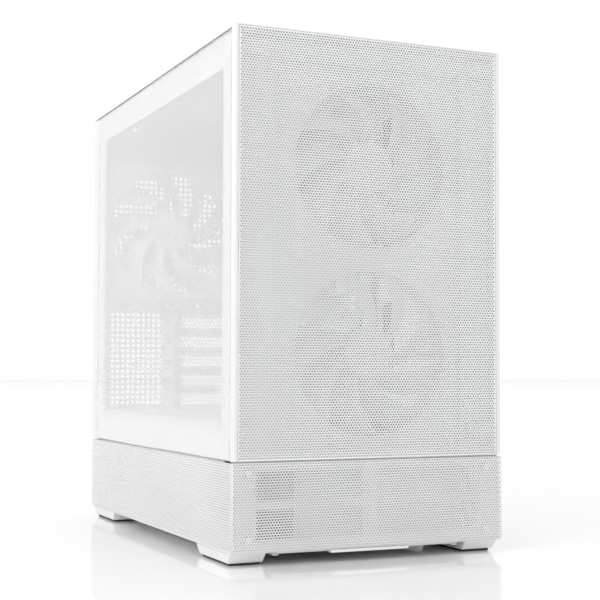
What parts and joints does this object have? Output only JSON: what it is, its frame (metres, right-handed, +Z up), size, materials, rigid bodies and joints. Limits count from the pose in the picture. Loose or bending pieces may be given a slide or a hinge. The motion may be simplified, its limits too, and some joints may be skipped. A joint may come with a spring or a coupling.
{
  "type": "desktop computer tower",
  "caption": "White mini-tower desktop computer with perforated front and base, tempered-glass side panel, case fans, expansion-slot covers and a slide-out dust filter.",
  "frame": {"origin": "centre of the footprint on the floor, under the feet", "axes": "+X across the case away from the glass side, +Y from the perforated front to the rear wall, +Z up"},
  "size_m": [0.234, 0.429, 0.411],
  "materials": {
    "painted_steel": "satin",
    "inner_steel": "satin",
    "perforated_steel": "satin",
    "tempered_glass": "polished",
    "white_plastic": "satin",
    "fan_plastic": "satin",
    "rubber_pad": "matte",
    "black_plastic": "satin",
    "circuit_board": "satin",
    "bright_steel": "brushed",
    "bare_aluminium": "brushed",
    "supply_housing": "satin"
  },
  "bodies": {
    "case": {"bottom_pan": "painted_steel", "top_cover": "painted_steel", "rear_wall": "inner_steel", "motherboard_tray": "inner_steel", "front_wall": "inner_steel", "lower_front_frame": "inner_steel", "roof_panel": "inner_steel", "psu_shroud": "inner_steel", "slot_post": "inner_steel", "slot_cover_1": "inner_steel", "slot_cover_2": "inner_steel", "slot_cover_3": "inner_steel", "slot_cover_4": "inner_steel", "slot_cover_5": "inner_steel", "drive_cage": "inner_steel", "ssd_bracket": "inner_steel", "base_left_grille": "perforated_steel", "base_right_grille": "perforated_steel", "front_left_foot": "white_plastic", "front_right_foot": "white_plastic", "rear_left_foot": "white_plastic", "rear_right_foot": "white_plastic", "front_upper_fan_frame": "white_plastic", "front_lower_fan_frame": "white_plastic", "rear_fan_frame": "white_plastic", "port_module": "white_plastic", "cooler_fan_frame": "fan_plastic", "front_left_foot_pad": "rubber_pad", "front_right_foot_pad": "rubber_pad", "rear_left_foot_pad": "rubber_pad", "rear_right_foot_pad": "rubber_pad", "solid_state_drive": "black_plastic", "motherboard": "circuit_board", "io_shield": "bright_steel", "cooler_heatsink": "bare_aluminium", "hard_drive": "bare_aluminium", "memory_module_1": "bare_aluminium", "memory_module_2": "bare_aluminium", "power_supply": "supply_housing"},
    "front_panel": {"front_panel_frame": "painted_steel", "front_mesh": "perforated_steel"},
    "base_front": {"base_front_grille": "perforated_steel"},
    "glass_panel": {"glass_pane": "tempered_glass", "glass_frame": "painted_steel"},
    "left_lower_screw": {"left_lower_thumbscrew": "bright_steel"},
    "left_upper_screw": {"left_upper_thumbscrew": "bright_steel"},
    "side_panel": {"right_side_panel": "painted_steel"},
    "right_lower_screw": {"right_lower_thumbscrew": "bright_steel"},
    "right_upper_screw": {"right_upper_thumbscrew": "bright_steel"},
    "roof_filter": {"top_filter": "perforated_steel"},
    "floor_filter": {"psu_filter": "white_plastic"},
    "front_upper_rotor": {"front_upper_fan_rotor": "fan_plastic"},
    "front_lower_rotor": {"front_lower_fan_rotor": "fan_plastic"},
    "rear_rotor": {"rear_fan_rotor": "fan_plastic"},
    "cooler_rotor": {"cooler_fan_rotor": "fan_plastic"},
    "power_key": {"power_button": "white_plastic"},
    "reset_key": {"reset_button": "white_plastic"},
    "supply_switch": {"psu_switch": "black_plastic"}
  },
  "joints": [
    {"name": "front_panel_pull", "type": "slide", "parent": "case", "child": "front_panel", "axis": [0, -1, 0], "range_m": [0, 0.06]},
    {"name": "base_front_pull", "type": "slide", "parent": "case", "child": "base_front", "axis": [0, -1, 0], "range_m": [0, 0.04]},
    {"name": "glass_panel_slide", "type": "slide", "parent": "case", "child": "glass_panel", "axis": [0, 1, 0], "range_m": [0, 0.4]},
    {"name": "side_panel_slide", "type": "slide", "parent": "case", "child": "side_panel", "axis": [0, 1, 0], "range_m": [0, 0.4]},
    {"name": "roof_filter_lift", "type": "slide", "parent": "case", "child": "roof_filter", "axis": [0, 0, 1], "range_m": [0, 0.04]},
    {"name": "floor_filter_slide", "type": "slide", "parent": "case", "child": "floor_filter", "axis": [0, -1, 0], "range_m": [0, 0.38]},
    {"name": "left_lower_screw_turn", "type": "hinge", "parent": "glass_panel", "child": "left_lower_screw", "pos_m": [-0.104, 0.212, 0.115], "axis": [0, 1, 0], "continuous": true},
    {"name": "left_upper_screw_turn", "type": "hinge", "parent": "glass_panel", "child": "left_upper_screw", "pos_m": [-0.104, 0.212, 0.375], "axis": [0, 1, 0], "continuous": true},
    {"name": "right_lower_screw_turn", "type": "hinge", "parent": "side_panel", "child": "right_lower_screw", "pos_m": [0.104, 0.212, 0.115], "axis": [0, 1, 0], "continuous": true},
    {"name": "right_upper_screw_turn", "type": "hinge", "parent": "side_panel", "child": "right_upper_screw", "pos_m": [0.104, 0.212, 0.375], "axis": [0, 1, 0], "continuous": true},
    {"name": "front_upper_fan_spin", "type": "hinge", "parent": "case", "child": "front_upper_rotor", "pos_m": [0.0025, -0.192, 0.31], "axis": [0, 1, 0], "continuous": true},
    {"name": "front_lower_fan_spin", "type": "hinge", "parent": "case", "child": "front_lower_rotor", "pos_m": [0.0025, -0.192, 0.1614], "axis": [0, 1, 0], "continuous": true},
    {"name": "rear_fan_spin", "type": "hinge", "parent": "case", "child": "rear_rotor", "pos_m": [-0.0375, 0.1936, 0.2935], "axis": [0, 1, 0], "continuous": true},
    {"name": "cooler_fan_spin", "type": "hinge", "parent": "case", "child": "cooler_rotor", "pos_m": [0.029, 0.105, 0.3075], "axis": [1, 0, 0], "continuous": true},
    {"name": "power_button_press", "type": "slide", "parent": "case", "child": "power_key", "axis": [0, 0, -1], "range_m": [0, 0.0015], "stiffness_N_per_m": 700, "springref_m": -0.002},
    {"name": "reset_button_press", "type": "slide", "parent": "case", "child": "reset_key", "axis": [0, 0, -1], "range_m": [0, 0.0012], "stiffness_N_per_m": 500, "springref_m": -0.002},
    {"name": "supply_switch_rock", "type": "hinge", "parent": "case", "child": "supply_switch", "pos_m": [0.054, 0.2016, 0.071], "axis": [1, 0, 0], "range_deg": [0, 7]}
  ]
}
